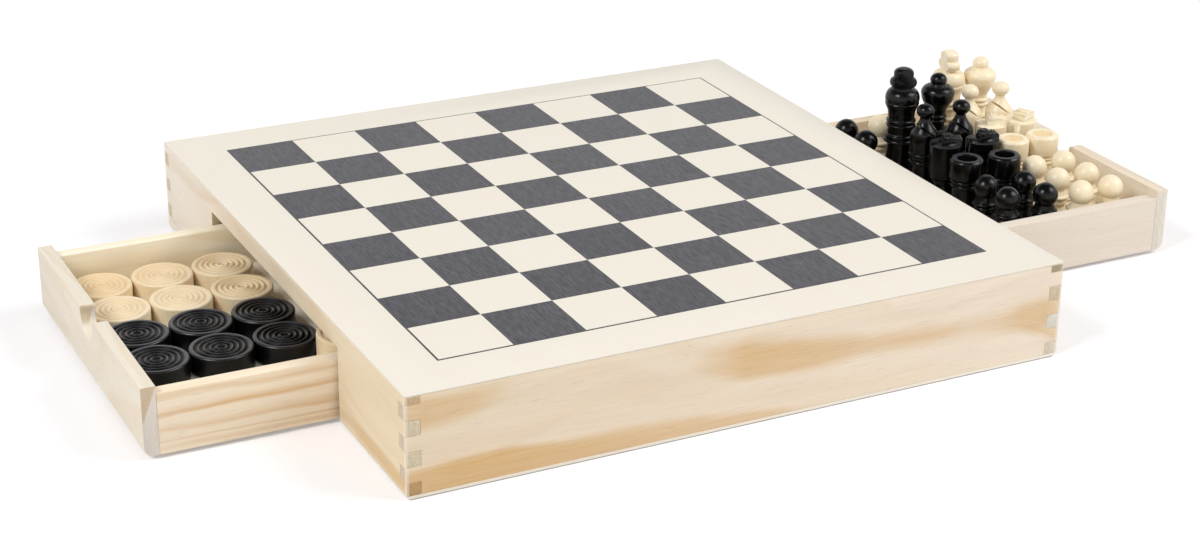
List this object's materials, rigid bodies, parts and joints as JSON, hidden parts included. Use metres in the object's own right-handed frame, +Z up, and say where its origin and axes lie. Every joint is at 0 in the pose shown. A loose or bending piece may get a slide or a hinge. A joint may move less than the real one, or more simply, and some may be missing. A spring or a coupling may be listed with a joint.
{
  "type": "chess box with drawers",
  "caption": "Low wooden box with an inlaid chessboard top; draughts in a drawer that slides out to the left, chess men in a drawer that slides out to the right.",
  "frame": {"origin": "centre of the case's underside, on the surface that the box stands on", "axes": "+X along the drawers' travel, from the draughts drawer's side to the men drawer's side; +Y from the front wall to the back wall; +Z up"},
  "size_m": [0.472, 0.286, 0.0647],
  "materials": {
    "pine": "sanded bare pine",
    "thin_sheet": "thin pale sheet, unfinished",
    "board_core": "plain board core",
    "pale_veneer": "pale veneer, satin",
    "grey_veneer": "dark stained veneer, satin",
    "natural_beech": "turned and clear lacquered, satin",
    "black_draught_paint": "painted black, satin",
    "black_lacquer": "black lacquer, glossy"
  },
  "bodies": {
    "case": {"base_panel": "thin_sheet", "front_wall": "pine", "back_wall": "pine", "left_wall": "pine", "right_wall": "pine", "top_board": "board_core", "border_veneer": "pale_veneer", "border_line": "grey_veneer", "light_squares": "pale_veneer", "dark_squares": "grey_veneer", "front_guide": "pine", "back_guide": "pine", "centre_stop": "pine"},
    "draughts_drawer": {"draughts_drawer_front": "pine", "draughts_drawer_near_side": "pine", "draughts_drawer_far_side": "pine", "draughts_drawer_back": "pine", "draughts_drawer_floor": "thin_sheet", "light_draughts": "natural_beech", "dark_draughts": "black_draught_paint"},
    "men_drawer": {"men_drawer_front": "pine", "men_drawer_near_side": "pine", "men_drawer_far_side": "pine", "men_drawer_back": "pine", "men_drawer_floor": "thin_sheet", "white_pawn_1": "natural_beech", "white_pawn_2": "natural_beech", "white_pawn_3": "natural_beech", "white_pawn_4": "natural_beech", "white_pawn_5": "natural_beech", "white_pawn_6": "natural_beech", "white_pawn_7": "natural_beech", "white_pawn_8": "natural_beech", "white_rook_1": "natural_beech", "white_rook_2": "natural_beech", "white_knight_1": "natural_beech", "white_knight_2": "natural_beech", "white_bishop_1": "natural_beech", "white_bishop_2": "natural_beech", "white_queen": "natural_beech", "white_king": "natural_beech", "black_pawn_1": "black_lacquer", "black_pawn_2": "black_lacquer", "black_pawn_3": "black_lacquer", "black_pawn_4": "black_lacquer", "black_pawn_5": "black_lacquer", "black_pawn_6": "black_lacquer", "black_pawn_7": "black_lacquer", "black_pawn_8": "black_lacquer", "black_rook_1": "black_lacquer", "black_rook_2": "black_lacquer", "black_knight_1": "black_lacquer", "black_knight_2": "black_lacquer", "black_bishop_1": "black_lacquer", "black_bishop_2": "black_lacquer", "black_queen": "black_lacquer", "black_king": "black_lacquer"}
  },
  "joints": [
    {"name": "draughts_drawer_slide", "type": "slide", "parent": "case", "child": "draughts_drawer", "axis": [-1, 0, 0], "range_m": [-0.076, 0.052]},
    {"name": "men_drawer_slide", "type": "slide", "parent": "case", "child": "men_drawer", "axis": [1, 0, 0], "range_m": [-0.012, 0.02]}
  ]
}
